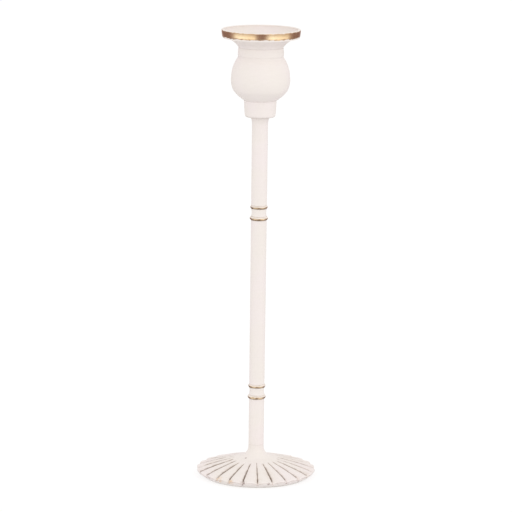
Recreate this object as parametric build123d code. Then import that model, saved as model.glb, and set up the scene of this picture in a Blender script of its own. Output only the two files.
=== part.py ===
from build123d import *
from math import cos, radians, sin
import os

os.makedirs("parts", exist_ok=True)

# A turned and painted wooden candlestick. It stands on its felt pad with its
# axis on Z and its origin at the centre of the pad's underside. Millimetres.

# Overall heights, counted up from the table
TOTAL_HEIGHT = 380.0
FELT_THICKNESS = 1.0
BOSS_TOP = 27.0
LOWER_KNOT_Z = 72.95
UPPER_KNOT_Z = 226.22
COLLAR_BOTTOM = 307.0
CUP_BOTTOM = 320.9
CUP_TOP = 364.9

# Fluted base
PETALS = 24
PETAL_TIP_R = 50.2
PETAL_CUSP_R = 48.7
BASE_EDGE_Z = 5.4
RIM_ROUND_IN = 0.7
RIM_ROUND_UP = 1.0
RIM_ROUND_DOWN = 0.8
RIM_UNDERCUT = 0.2
FOOT_R = 45.6
FELT_R = 44.4
DISC_TOP_R = 14.2
DISC_TOP_Z = 15.7
DISC_MID_R = 31.9
DISC_MID_Z = 11.35
BOSS_FILLET_R = 9.5
BOSS_FILLET_TOP = 25.0
FLUTE_R = 0.75
FLUTE_START = (17.5, 15.08)
FLUTE_MIDDLE = (34.0, 10.93)
FLUTE_END = (51.7, 5.89)

# Ballast and its screws
BALLAST_R = 33.8
BALLAST_BORE_R = 9.6
BALLAST_THICKNESS = 3.5
BALLAST_RECESS_TOP = 5.0
BALLAST_CLEARANCE = 0.2
BALLAST_SCREWS = 3
SCREW_CIRCLE_R = 22.0
SCREW_R = 1.5
SCREW_HEAD_R = 3.0
SCREW_HEAD_H = 1.6
SCREW_TIP_Z = 10.6
SCREW_CLEARANCE = 0.1
PILOT_CLEARANCE = 0.05

# Tie rod with an M5 washer and nut at each end
ROD_R = 2.5
ROD_HOLE_R = 2.7
ROD_BOTTOM = 3.5
ROD_TOP = 336.5
NUT_BORE_R = 2.55
NUT_FLATS = 8.0
NUT_HEIGHT = 4.0
WASHER_R = 7.5
WASHER_HEIGHT = 1.2
BASE_WELL_R = 9.0
BASE_WELL_TOP = 10.0
CUP_WELL_R = 8.0
CUP_WELL_BOTTOM = 330.0

# Stem and its glued joints
STEM_R_TOP = 6.68
STEM_R_BOTTOM = 6.4
TENON_R = 4.5
TENON_LENGTH = 5.7
SOCKET_R = 4.58
SOCKET_DEPTH = 6.0
BEAD_BORE_R = 4.55

# A knot: two gilded beads with a waisted spacer between them
BOTTOM_BEAD_R = 7.65
BOTTOM_BEAD_H = 3.0
TOP_BEAD_R = 7.3
TOP_BEAD_H = 2.6
BEAD_NOSE_DEPTH = 0.385
SPACER_H = 6.7
SPACER_END_R = 6.7
SPACER_WAIST_R = 6.1

# Stem head and collar
STEM_HEAD_R = 7.7
STEM_HEAD_H = 7.0
STEM_HEAD_LIP = 1.0
HEAD_TENON_R = 5.5
HEAD_TENON_LENGTH = 8.0
COLLAR_TOP_R = 13.6
COLLAR_R = 12.95
COLLAR_BOTTOM_R = 12.0
COLLAR_ROUND_H = 2.5
CUP_SPIGOT_R = 9.0
CUP_SPIGOT_LENGTH = 4.0
WOOD_GAP = 0.08
END_GAP = 0.3

# Bulb and neck
BULB_R = 24.4
BULB_Z = 341.0
BULB_BOTTOM_R = 13.8
BULB_UNDERSIDE = [(BULB_R, BULB_Z), (23.9, 332.9), (22.4, 328.7), (18.1, 323.5), (BULB_BOTTOM_R, CUP_BOTTOM)]
BULB_BOTTOM_SLOPE = (-1.0, -0.4)
NECK_R = 19.0
NECK_BOTTOM = 356.6
NECK_MIDDLE = (19.1, 360.0)
NECK_TOP_R = 18.6
NECK_GROOVE_Z = 357.7
NECK_GROOVE_RING_R = 19.1
NECK_GROOVE_R = 0.45
CUP_BORE_R = 15.0
CUP_BORE_BOTTOM = 345.4

# Loose nozzle: drip dish, gilded rim and candle socket
NOZZLE_SEAT_GAP = 0.05
NOZZLE_SPIGOT_R = 14.93
NOZZLE_SPIGOT_BOTTOM = 346.0
WAIST_R = 18.6
FLARE_MIDDLE = (23.0, 370.0)
DISH_FLOOR_R = 23.0
DISH_FLOOR_Z = 372.0
DISH_WALL_R = 30.4
DISH_WALL_Z = 372.9
DISH_WALL_TOP_R = 31.6
DISH_WALL_TOP = 379.0
DISH_LIP_R = 30.7
BOWL_MIDDLE = (28.8, 374.3)
RIM_R = 32.85
RIM_FOOT_R = 31.9
RIM_ROUND = 0.6
CANDLE_R = 11.2
CANDLE_DEPTH = 24.0
SOCKET_WALL = 0.75
SOCKET_HOLE_R = 12.0
SOCKET_BOTTOM = 348.0
FLANGE_R = 14.6
FLANGE_H = 0.8


def turned(*edges):
    """Solid turned about Z from a closed outline of edges given as (radius, height)."""
    return revolve(Plane.XZ * make_face(Curve() + list(edges)), Axis.Z)


def rod(radius, bottom, top):
    """Plain round bar on the Z axis between two heights."""
    return Pos(0, 0, bottom) * extrude(Circle(radius), top - bottom)


def on_circle(count, radius, shape):
    """Copies of a shape, evenly spaced on a circle round Z."""
    return [spot * shape for spot in PolarLocations(radius, count)]


def disc_top():
    """Crowned upper side of the base, from the boss out to the rim."""
    rim = (PETAL_TIP_R - RIM_ROUND_IN, BASE_EDGE_Z + RIM_ROUND_UP)
    return ThreePointArc((DISC_TOP_R, DISC_TOP_Z), (DISC_MID_R, DISC_MID_Z), rim)


def petal_outline():
    """Plan of the base: a ring of shallow arcs that meet in a cusp at each flute."""
    step = 360.0 / PETALS
    arcs = []
    for i in range(PETALS):
        start, middle, end = (radians(step * (i + share)) for share in (0.0, 0.5, 1.0))
        arcs.append(
            ThreePointArc(
                (PETAL_CUSP_R * cos(start), PETAL_CUSP_R * sin(start)),
                (PETAL_TIP_R * cos(middle), PETAL_TIP_R * sin(middle)),
                (PETAL_CUSP_R * cos(end), PETAL_CUSP_R * sin(end)),
            )
        )
    return make_face(Curve() + arcs)


def flute():
    """Round cutter that runs along the crown of the base and out through the rim."""
    path = Plane.XZ * ThreePointArc(FLUTE_START, FLUTE_MIDDLE, FLUTE_END)
    return sweep(Plane(path @ 0, z_dir=path % 0) * Circle(FLUTE_R), path=path)


def ballast_screw():
    """Countersunk wood screw, head down, with its axis on Z."""
    head_z = BALLAST_RECESS_TOP - BALLAST_THICKNESS
    shank_z = head_z + SCREW_HEAD_H
    return turned(
        Polyline(
            (0, head_z),
            (SCREW_HEAD_R, head_z),
            (SCREW_R, shank_z),
            (SCREW_R, SCREW_TIP_Z - 2 * SCREW_R),
            (0, SCREW_TIP_Z),
            (0, head_z),
        )
    )


def felt_pad():
    """Round felt glued under the foot."""
    return rod(FELT_R, 0, FELT_THICKNESS)


def fluted_base():
    """Foot, crowned disc of petals and the flared boss that takes the stem."""
    crown = disc_top()
    rim_bottom = (PETAL_TIP_R - RIM_UNDERCUT, BASE_EDGE_Z - RIM_ROUND_DOWN)
    body = turned(
        Line((0, FELT_THICKNESS), (FOOT_R, FELT_THICKNESS)),
        Line((FOOT_R, FELT_THICKNESS), rim_bottom),
        ThreePointArc(rim_bottom, (PETAL_TIP_R, BASE_EDGE_Z), crown @ 1),
        crown,
        RadiusArc(crown @ 0, (STEM_R_BOTTOM, BOSS_FILLET_TOP), BOSS_FILLET_R),
        Line((STEM_R_BOTTOM, BOSS_FILLET_TOP), (STEM_R_BOTTOM, BOSS_TOP)),
        Line((STEM_R_BOTTOM, BOSS_TOP), (0, BOSS_TOP)),
        Line((0, BOSS_TOP), (0, FELT_THICKNESS)),
    )
    body = body & extrude(petal_outline(), BOSS_TOP)
    body -= on_circle(PETALS, 0, flute())
    body -= rod(BALLAST_R + BALLAST_CLEARANCE, 0, BALLAST_RECESS_TOP)
    body -= rod(BASE_WELL_R, 0, BASE_WELL_TOP)
    body -= rod(ROD_HOLE_R, 0, BOSS_TOP)
    body -= rod(SOCKET_R, BOSS_TOP - SOCKET_DEPTH, BOSS_TOP)
    pilot = rod(SCREW_R + PILOT_CLEARANCE, 0, SCREW_TIP_Z)
    body -= on_circle(BALLAST_SCREWS, SCREW_CIRCLE_R, pilot)
    return body


def ballast_disc():
    """Steel weight screwed into the recess under the base."""
    bottom = BALLAST_RECESS_TOP - BALLAST_THICKNESS
    disc = rod(BALLAST_R, bottom, BALLAST_RECESS_TOP)
    disc -= rod(BALLAST_BORE_R, 0, BALLAST_RECESS_TOP)
    shank_hole = rod(SCREW_R + SCREW_CLEARANCE, 0, BALLAST_RECESS_TOP)
    sink = rod(SCREW_HEAD_R + SCREW_CLEARANCE, bottom, bottom + SCREW_HEAD_H + SCREW_CLEARANCE)
    disc -= on_circle(BALLAST_SCREWS, SCREW_CIRCLE_R, shank_hole + sink)
    return disc


def ballast_screws():
    """The screws that hold the weight."""
    return Compound(children=on_circle(BALLAST_SCREWS, SCREW_CIRCLE_R, ballast_screw()))


def tie_rod():
    """Rod that draws the stack of turned pieces together."""
    return rod(ROD_R, ROD_BOTTOM, ROD_TOP)


def washer(bottom):
    """Plain washer with its underside at a height."""
    return rod(WASHER_R, bottom, bottom + WASHER_HEIGHT) - rod(ROD_HOLE_R, bottom, bottom + WASHER_HEIGHT)


def hex_nut(bottom):
    """Hexagon nut with its underside at a height."""
    body = Pos(0, 0, bottom) * extrude(RegularPolygon(NUT_FLATS / 2, 6, major_radius=False), NUT_HEIGHT)
    return body - rod(NUT_BORE_R, bottom, bottom + NUT_HEIGHT)


def stem_radius(height):
    """Radius of the slim stem, which tapers a little towards the foot."""
    share = (height - BOSS_TOP) / (COLLAR_BOTTOM - BOSS_TOP)
    return STEM_R_BOTTOM + (STEM_R_TOP - STEM_R_BOTTOM) * share


def stem_bar(bottom, top):
    """Tapered length of stem, bored for the tie rod."""
    low_r = stem_radius(bottom)
    high_r = stem_radius(top)
    bar = turned(Polyline((0, bottom), (low_r, bottom), (high_r, top), (0, top), (0, bottom)))
    return bar - rod(ROD_HOLE_R, bottom, top)


def knot_bottom(knot_z):
    """Underside of a knot's lower bead."""
    return knot_z - SPACER_H / 2 - BOTTOM_BEAD_H


def knot_top(knot_z):
    """Top of a knot's upper bead."""
    return knot_z + SPACER_H / 2 + TOP_BEAD_H


def bead(bottom, height, radius):
    """Gilded ring with a round nose."""
    face_r = radius - BEAD_NOSE_DEPTH * height
    top = bottom + height
    ring = turned(
        Line((0, bottom), (face_r, bottom)),
        ThreePointArc((face_r, bottom), (radius, bottom + height / 2), (face_r, top)),
        Line((face_r, top), (0, top)),
        Line((0, top), (0, bottom)),
    )
    return ring - rod(BEAD_BORE_R, bottom, top)


def bottom_bead(knot_z):
    """Larger bead, under the spacer."""
    return bead(knot_bottom(knot_z), BOTTOM_BEAD_H, BOTTOM_BEAD_R)


def top_bead(knot_z):
    """Smaller bead, on top of the spacer."""
    return bead(knot_z + SPACER_H / 2, TOP_BEAD_H, TOP_BEAD_R)


def spacer(knot_z):
    """Waisted spacer whose spigots run through both beads into the stem."""
    low = knot_z - SPACER_H / 2
    high = knot_z + SPACER_H / 2
    waist = turned(
        Line((0, low), (SPACER_END_R, low)),
        ThreePointArc((SPACER_END_R, low), (SPACER_WAIST_R, knot_z), (SPACER_END_R, high)),
        Line((SPACER_END_R, high), (0, high)),
        Line((0, high), (0, low)),
    )
    spigot_low = knot_bottom(knot_z) - TENON_LENGTH
    spigot_high = knot_top(knot_z) + TENON_LENGTH
    return waist + rod(TENON_R, spigot_low, spigot_high) - rod(ROD_HOLE_R, spigot_low, spigot_high)


def lower_stem():
    """Short stem between the base and the lower knot, with a tenon into the base."""
    top = knot_bottom(LOWER_KNOT_Z)
    tenon = rod(TENON_R, BOSS_TOP - TENON_LENGTH, BOSS_TOP) - rod(ROD_HOLE_R, 0, BOSS_TOP)
    return stem_bar(BOSS_TOP, top) - rod(SOCKET_R, top - SOCKET_DEPTH, top) + tenon


def middle_stem():
    """Long stem between the two knots, socketed at both ends."""
    bottom = knot_top(LOWER_KNOT_Z)
    top = knot_bottom(UPPER_KNOT_Z)
    bar = stem_bar(bottom, top)
    bar -= rod(SOCKET_R, bottom, bottom + SOCKET_DEPTH)
    return bar - rod(SOCKET_R, top - SOCKET_DEPTH, top)


def upper_stem():
    """Stem above the upper knot, with a flared head and a tenon into the collar."""
    bottom = knot_top(UPPER_KNOT_Z)
    head_bottom = COLLAR_BOTTOM - STEM_HEAD_H
    lip = COLLAR_BOTTOM - STEM_HEAD_LIP
    neck_r = stem_radius(head_bottom)
    bar = turned(
        Line((0, bottom), (stem_radius(bottom), bottom)),
        Line((stem_radius(bottom), bottom), (neck_r, head_bottom)),
        TangentArc((neck_r, head_bottom), (STEM_HEAD_R, lip), tangent=(0, 1)),
        Line((STEM_HEAD_R, lip), (STEM_HEAD_R, COLLAR_BOTTOM)),
        Line((STEM_HEAD_R, COLLAR_BOTTOM), (0, COLLAR_BOTTOM)),
        Line((0, COLLAR_BOTTOM), (0, bottom)),
    )
    bar += rod(HEAD_TENON_R, COLLAR_BOTTOM, COLLAR_BOTTOM + HEAD_TENON_LENGTH)
    bar -= rod(ROD_HOLE_R, bottom, COLLAR_BOTTOM + HEAD_TENON_LENGTH)
    return bar - rod(SOCKET_R, bottom, bottom + SOCKET_DEPTH)


def cup_collar():
    """Collar under the bulb, tapered a little and rounded below."""
    round_top = COLLAR_BOTTOM + COLLAR_ROUND_H
    body = turned(
        Line((0, COLLAR_BOTTOM), (COLLAR_BOTTOM_R, COLLAR_BOTTOM)),
        TangentArc((COLLAR_R, round_top), (COLLAR_BOTTOM_R, COLLAR_BOTTOM), tangent=(0, -1)),
        Line((COLLAR_R, round_top), (COLLAR_TOP_R, CUP_BOTTOM)),
        Line((COLLAR_TOP_R, CUP_BOTTOM), (0, CUP_BOTTOM)),
        Line((0, CUP_BOTTOM), (0, COLLAR_BOTTOM)),
    )
    body -= rod(HEAD_TENON_R + WOOD_GAP, COLLAR_BOTTOM, COLLAR_BOTTOM + HEAD_TENON_LENGTH + END_GAP)
    body -= rod(CUP_SPIGOT_R + WOOD_GAP, CUP_BOTTOM - CUP_SPIGOT_LENGTH - END_GAP, CUP_BOTTOM)
    return body - rod(ROD_HOLE_R, COLLAR_BOTTOM, CUP_BOTTOM)


def bulb_cup():
    """Round bulb and neck, bored from above for the nozzle and for the nut on the rod."""
    body = turned(
        Line((0, CUP_BOTTOM), (BULB_BOTTOM_R, CUP_BOTTOM)),
        Spline(*BULB_UNDERSIDE, tangents=[(0, -1), BULB_BOTTOM_SLOPE]),
        TangentArc((BULB_R, BULB_Z), (NECK_R, NECK_BOTTOM), tangent=(0, 1)),
        ThreePointArc((NECK_R, NECK_BOTTOM), NECK_MIDDLE, (NECK_TOP_R, CUP_TOP)),
        Line((NECK_TOP_R, CUP_TOP), (0, CUP_TOP)),
        Line((0, CUP_TOP), (0, CUP_BOTTOM)),
    )
    body -= Pos(0, 0, NECK_GROOVE_Z) * Torus(NECK_GROOVE_RING_R, NECK_GROOVE_R)
    body += rod(CUP_SPIGOT_R, CUP_BOTTOM - CUP_SPIGOT_LENGTH, CUP_BOTTOM)
    body -= rod(CUP_BORE_R, CUP_BORE_BOTTOM, CUP_TOP)
    body -= rod(CUP_WELL_R, CUP_WELL_BOTTOM, CUP_TOP)
    return body - rod(ROD_HOLE_R, CUP_BOTTOM - CUP_SPIGOT_LENGTH, CUP_TOP)


def drip_dish():
    """Saucer with its conical underside and the spigot that drops into the bulb."""
    seat = CUP_TOP + NOZZLE_SEAT_GAP
    body = turned(
        Polyline((0, NOZZLE_SPIGOT_BOTTOM), (NOZZLE_SPIGOT_R, NOZZLE_SPIGOT_BOTTOM), (NOZZLE_SPIGOT_R, seat)),
        Line((NOZZLE_SPIGOT_R, seat), (WAIST_R, seat)),
        ThreePointArc((WAIST_R, seat), FLARE_MIDDLE, (DISH_WALL_R, DISH_WALL_Z)),
        Line((DISH_WALL_R, DISH_WALL_Z), (DISH_WALL_TOP_R, DISH_WALL_TOP)),
        Line((DISH_WALL_TOP_R, DISH_WALL_TOP), (DISH_LIP_R, DISH_WALL_TOP)),
        ThreePointArc((DISH_LIP_R, DISH_WALL_TOP), BOWL_MIDDLE, (DISH_FLOOR_R, DISH_FLOOR_Z)),
        Line((DISH_FLOOR_R, DISH_FLOOR_Z), (0, DISH_FLOOR_Z)),
        Line((0, DISH_FLOOR_Z), (0, NOZZLE_SPIGOT_BOTTOM)),
    )
    return body - rod(SOCKET_HOLE_R, SOCKET_BOTTOM, DISH_FLOOR_Z)


def dish_rim_band():
    """Gilded hoop round the wall of the dish, rolled over its lip."""
    round_z = TOTAL_HEIGHT - RIM_ROUND
    return turned(
        Line((DISH_WALL_R, DISH_WALL_Z), (RIM_FOOT_R, DISH_WALL_Z)),
        TangentArc((RIM_R, round_z), (RIM_FOOT_R, DISH_WALL_Z), tangent=(0, -1)),
        TangentArc((RIM_R, round_z), (RIM_R - RIM_ROUND, TOTAL_HEIGHT), tangent=(0, 1)),
        Line((RIM_R - RIM_ROUND, TOTAL_HEIGHT), (DISH_LIP_R + RIM_ROUND, TOTAL_HEIGHT)),
        TangentArc((DISH_LIP_R + RIM_ROUND, TOTAL_HEIGHT), (DISH_LIP_R, round_z), tangent=(-1, 0)),
        Polyline((DISH_LIP_R, round_z), (DISH_LIP_R, DISH_WALL_TOP), (DISH_WALL_TOP_R, DISH_WALL_TOP)),
        Line((DISH_WALL_TOP_R, DISH_WALL_TOP), (DISH_WALL_R, DISH_WALL_Z)),
    )


def candle_socket():
    """Thin metal cup that lines the candle hole, with a flange on the dish floor."""
    floor_z = SOCKET_BOTTOM + FLANGE_H
    cup = rod(CANDLE_R + SOCKET_WALL, SOCKET_BOTTOM, DISH_FLOOR_Z + FLANGE_H)
    cup += rod(FLANGE_R, DISH_FLOOR_Z, DISH_FLOOR_Z + FLANGE_H)
    return cup - rod(CANDLE_R, floor_z, floor_z + CANDLE_DEPTH)


NODES = {
    "felt_pad": felt_pad(),
    "fluted_base": fluted_base(),
    "ballast_disc": ballast_disc(),
    "ballast_screws": ballast_screws(),
    "base_washer": washer(BASE_WELL_TOP - WASHER_HEIGHT),
    "base_nut": hex_nut(BASE_WELL_TOP - WASHER_HEIGHT - NUT_HEIGHT),
    "tie_rod": tie_rod(),
    "lower_stem": lower_stem(),
    "lower_bead_bottom": bottom_bead(LOWER_KNOT_Z),
    "lower_spacer": spacer(LOWER_KNOT_Z),
    "lower_bead_top": top_bead(LOWER_KNOT_Z),
    "middle_stem": middle_stem(),
    "upper_bead_bottom": bottom_bead(UPPER_KNOT_Z),
    "upper_spacer": spacer(UPPER_KNOT_Z),
    "upper_bead_top": top_bead(UPPER_KNOT_Z),
    "upper_stem": upper_stem(),
    "cup_collar": cup_collar(),
    "bulb_cup": bulb_cup(),
    "cup_washer": washer(CUP_WELL_BOTTOM),
    "cup_nut": hex_nut(CUP_WELL_BOTTOM + WASHER_HEIGHT),
    "drip_dish": drip_dish(),
    "dish_rim_band": dish_rim_band(),
    "candle_socket": candle_socket(),
}

for name, shape in NODES.items():
    export_step(shape, f"parts/{name}.step")
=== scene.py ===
"""Looks of a turned, painted and gilded candlestick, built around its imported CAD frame.

Sizes in the dataclasses are millimetres in the object's own frame: the axis is Z and
the felt stands on Z = 0. Meshes are scaled to metres as they leave the lathe.
"""

import logging
import math
from dataclasses import dataclass, field
from enum import Enum
from typing import Callable, Sequence

import bmesh
import bpy
from mathutils import Matrix, Vector, noise


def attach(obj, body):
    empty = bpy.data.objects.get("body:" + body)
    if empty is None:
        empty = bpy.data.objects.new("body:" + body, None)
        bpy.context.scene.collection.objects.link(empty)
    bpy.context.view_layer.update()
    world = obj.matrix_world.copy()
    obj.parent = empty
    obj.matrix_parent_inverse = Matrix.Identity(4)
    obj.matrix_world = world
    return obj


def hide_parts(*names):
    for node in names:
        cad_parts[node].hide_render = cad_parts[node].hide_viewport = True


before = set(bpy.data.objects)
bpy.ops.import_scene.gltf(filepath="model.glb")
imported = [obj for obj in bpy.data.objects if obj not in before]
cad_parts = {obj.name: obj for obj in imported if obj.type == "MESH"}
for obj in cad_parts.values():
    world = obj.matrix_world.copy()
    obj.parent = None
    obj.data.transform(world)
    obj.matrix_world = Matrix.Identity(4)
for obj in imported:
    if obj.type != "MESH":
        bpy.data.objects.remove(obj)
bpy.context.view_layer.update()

MM = 0.001
FULL_TURN = 2.0 * math.pi

# Glued joints of the turned pieces, in millimetres: the rod's hole, the spigots of the stem and their
# sockets, and the tenon on top of the stem and its mortise in the collar.
ROD_HOLE_R = 2.7
SPIGOT_R = 4.5
SPIGOT_H = 5.7
SOCKET_R = 4.58
SOCKET_H = 6.0
TENON_R = 5.5
TENON_H = 8.0
MORTISE_R = 5.58
MORTISE_H = 8.3

Point = tuple[float, float]
Colour = tuple[float, float, float, float]
Node = bpy.types.Node
Socket = bpy.types.NodeSocket
Outputs = bpy.types.NodeOutputs
Inputs = bpy.types.NodeInputs

log = logging.getLogger("candlestick")


class Body(str, Enum):
    """Rigid bodies that a piece can ride on."""

    STAND = "stand"
    NOZZLE = "nozzle"


class Slot(str, Enum):
    """Material slots of the record."""

    PAINT = "painted_wood"
    GOLD = "aged_gold"
    LINER = "brass_liner"
    STEEL = "hardware_steel"
    BALLAST = "ballast_steel"
    FELT = "felt"


# ---------------------------------------------------------------- outlines


def arc(start: Point, end: Point, bulge: float, steps: int) -> list[Point]:
    """Points along a circular arc, without its start.

    Args:
        start: first point, as (radius, height).
        end: last point.
        bulge: how far the arc stands off its chord, positive to the right of travel.
        steps: number of spans.

    Returns:
        The points after the start, ending on the end point.
    """
    a, b = Vector(start), Vector(end)
    chord = b - a
    side = Vector((chord.y, -chord.x)).normalized() * math.copysign(1.0, bulge)
    rise = abs(bulge)
    radius = (chord.length_squared / 4.0 + rise * rise) / (2.0 * rise)
    centre = (a + b) / 2.0 + side * (rise - radius)
    half = 2.0 * math.atan2(2.0 * rise, chord.length)
    ahead = chord.normalized()
    points = []
    for i in range(1, steps + 1):
        turn = half * (2.0 * i / steps - 1.0)
        p = centre + side * radius * math.cos(turn) + ahead * radius * math.sin(turn)
        points.append((p.x, p.y))
    return points


def line(start: Point, end: Point, steps: int) -> list[Point]:
    """Evenly spaced points along a straight run, without its start.

    Args:
        start: first point.
        end: last point.
        steps: number of spans.

    Returns:
        The points after the start, ending on the end point.
    """
    a, b = Vector(start), Vector(end)
    return [tuple(a.lerp(b, i / steps)) for i in range(1, steps + 1)]


def smooth_step(low: float, high: float, value: float) -> float:
    """Smooth ramp from 0 at low to 1 at high."""
    t = min(1.0, max(0.0, (value - low) / (high - low)))
    return t * t * (3.0 - 2.0 * t)


# ---------------------------------------------------------------- lathe


def set_out(name: str, data: bpy.types.ID) -> bpy.types.Object:
    """Makes an object from its data and puts it into the scene.

    Args:
        name: name of the object.
        data: its mesh, light or camera.

    Returns:
        The new object.
    """
    item = bpy.data.objects.new(name, data)
    bpy.context.scene.collection.objects.link(item)
    return item


@dataclass(frozen=True)
class Lathe:
    """Turns outlines into closed meshes and finishes their edges."""

    steps: int = 128
    edge_angle: float = math.radians(38.0)
    bevel_segments: int = 3
    weld: float = 1e-4

    def turn(self, name: str, outline: Sequence[Point], shape: Callable[[Vector], Vector] | None = None,
             steps: int = 0, bevel: float = 0.15) -> bpy.types.Object:
        """Spins a closed outline about Z.

        Args:
            name: name of the piece.
            outline: corner points as (radius, height), in order round the section.
            shape: moves each point of the turned mesh, in millimetres.
            steps: spans round the axis, or 0 for the lathe's own number.
            bevel: width of the softened edges, in millimetres.

        Returns:
            The finished object, with its place in its mesh.
        """
        mesh = bmesh.new()
        chain = [mesh.verts.new((r, 0.0, z)) for r, z in outline]
        closed = chain + [chain[0]]
        edges = [mesh.edges.new(pair) for pair in zip(closed, closed[1:])
                 if max(abs(pair[0].co.x), abs(pair[1].co.x)) > 0.0]
        bmesh.ops.spin(mesh, geom=chain + edges, cent=(0, 0, 0), axis=(0, 0, 1), angle=FULL_TURN,
                       steps=steps or self.steps, use_merge=True, use_normal_flip=False,
                       use_duplicate=False)
        bmesh.ops.remove_doubles(mesh, verts=mesh.verts, dist=self.weld)
        if shape:
            for vert in mesh.verts:
                vert.co = shape(vert.co.copy())
        return self.finish(name, mesh, bevel)

    def finish(self, name: str, mesh: bmesh.types.BMesh, bevel: float) -> bpy.types.Object:
        """Turns the faces out, scales to metres and makes the object.

        Args:
            name: name of the piece.
            mesh: the shape in millimetres; it is freed here.
            bevel: width of the softened edges, in millimetres, or 0 for none.

        Returns:
            The new object.
        """
        bmesh.ops.recalc_face_normals(mesh, faces=mesh.faces)
        if mesh.calc_volume(signed=True) < 0.0:
            bmesh.ops.reverse_faces(mesh, faces=mesh.faces)
        bmesh.ops.scale(mesh, vec=(MM, MM, MM), verts=mesh.verts)
        data = bpy.data.meshes.new(name)
        mesh.to_mesh(data)
        mesh.free()
        data.shade_smooth()
        piece = set_out(name, data)
        if bevel:
            soften = piece.modifiers.new("soft_edges", "BEVEL")
            soften.width = bevel * MM
            soften.segments = self.bevel_segments
            soften.limit_method = "ANGLE"
            soften.angle_limit = self.edge_angle
            soften.harden_normals = True
            soften.use_clamp_overlap = True
        else:
            data.set_sharp_from_angle(angle=self.edge_angle)
        return piece


# ---------------------------------------------------------------- node work


class NodeBench:
    """Places nodes in a tree, so that a finish reads as a short recipe."""

    def __init__(self, tree: bpy.types.NodeTree) -> None:
        """Takes the tree to work in."""
        self.tree = tree

    def add(self, kind: str, **settings: object) -> Node:
        """Adds a node.

        Args:
            kind: the node's type name without its ShaderNode prefix.
            settings: attributes to set on it.

        Returns:
            The new node.
        """
        prefix = "" if kind.startswith("Node") else "ShaderNode"
        node = self.tree.nodes.new(prefix + kind)
        for key, value in settings.items():
            setattr(node, key, value)
        return node

    def feed(self, socket: Socket, value: object) -> None:
        """Links a socket to another one, or sets its plain value.

        Args:
            socket: the input to fill.
            value: a socket to link from, or a plain value.
        """
        if isinstance(value, Socket):
            self.tree.links.new(value, socket)
        else:
            socket.default_value = value

    def math(self, operation: str, *values: object, clamp: bool = False) -> Socket:
        """Adds a Math node and returns its result.

        Args:
            operation: what the node does.
            values: its inputs, in order.
            clamp: whether the result stays between 0 and 1.

        Returns:
            The result.
        """
        node = self.add("Math", operation=operation, use_clamp=clamp)
        for socket, value in zip(node.inputs, values):
            self.feed(socket, value)
        return node.outputs[0]

    def times(self, *values: object, clamp: bool = False) -> Socket:
        """Product of two values or more."""
        *first, last = values
        return self.math("MULTIPLY", first[0] if len(first) == 1 else self.times(*first), last, clamp=clamp)

    def plus(self, one: object, other: object) -> Socket:
        """Sum of two values."""
        return self.math("ADD", one, other)

    def minus(self, one: object, other: object) -> Socket:
        """First value less the second."""
        return self.math("SUBTRACT", one, other)

    def scaled(self, value: object, factor: object, start: object) -> Socket:
        """A value times a factor, added to a start."""
        return self.math("MULTIPLY_ADD", value, factor, start)

    def axes(self, vector: Socket) -> list[Socket]:
        """The three parts of a vector."""
        node = self.add("SeparateXYZ")
        self.feed(node.inputs[0], vector)
        return list(node.outputs)

    def radius(self, x: Socket, y: Socket) -> Socket:
        """Distance from the axis."""
        return self.math("SQRT", self.scaled(x, x, self.times(y, y)))

    def bell(self, away: Socket, width: object) -> Socket:
        """Gaussian of a distance."""
        share = self.math("DIVIDE", away, width)
        return self.math("EXPONENT", self.times(share, share, -1.0))

    def wander(self, place: Socket, scale: float, detail: float = 3.0, rough: float = 0.6) -> Socket:
        """Noise about zero, to make a line ragged."""
        return self.minus(self.noise(place, scale, detail, rough), 0.5)

    def mix(self, factor: object, low: object, high: object) -> Socket:
        """Mixes two colours and returns the result.

        Args:
            factor: share of the second colour.
            low: colour at 0.
            high: colour at 1.

        Returns:
            The mixed colour.
        """
        node = self.add("Mix", data_type="RGBA", clamp_factor=True)
        self.feed(node.inputs["Factor"], factor)
        self.feed(node.inputs[6], low)
        self.feed(node.inputs[7], high)
        return node.outputs[2]

    def noise(self, vector: Socket, scale: float, detail: float = 3.0, rough: float = 0.55) -> Socket:
        """Fractal noise between 0 and 1 on a vector.

        Args:
            vector: where to read it.
            scale: how fine it is.
            detail: how many octaves it has.
            rough: how strong the finer octaves are.

        Returns:
            The noise.
        """
        node = self.add("TexNoise")
        self.feed(node.inputs["Vector"], vector)
        node.inputs["Scale"].default_value = scale
        node.inputs["Detail"].default_value = detail
        node.inputs["Roughness"].default_value = rough
        return node.outputs["Fac"]

    def ramp(self, value: Socket, low: object, high: object, out_low: float = 0.0,
             out_high: float = 1.0) -> Socket:
        """Smooth remap of a value from one range to another, clamped.

        Args:
            value: the value to remap.
            low: where the ramp starts.
            high: where it ends.
            out_low: result at the start.
            out_high: result at the end.

        Returns:
            The remapped value.
        """
        node = self.add("MapRange", interpolation_type="SMOOTHSTEP", clamp=True)
        for name, item in (("Value", value), ("From Min", low), ("From Max", high),
                           ("To Min", out_low), ("To Max", out_high)):
            self.feed(node.inputs[name], item)
        return node.outputs["Result"]

    def stretched(self, vector: Socket, x: float, y: float, z: float) -> Socket:
        """The same place with each axis scaled, for streaks.

        Args:
            vector: the place.
            x: scale along X.
            y: scale along Y.
            z: scale along Z.

        Returns:
            The scaled place.
        """
        node = self.add("Mapping")
        self.feed(node.inputs["Vector"], vector)
        node.inputs["Scale"].default_value = (x, y, z)
        return node.outputs["Vector"]


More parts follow.
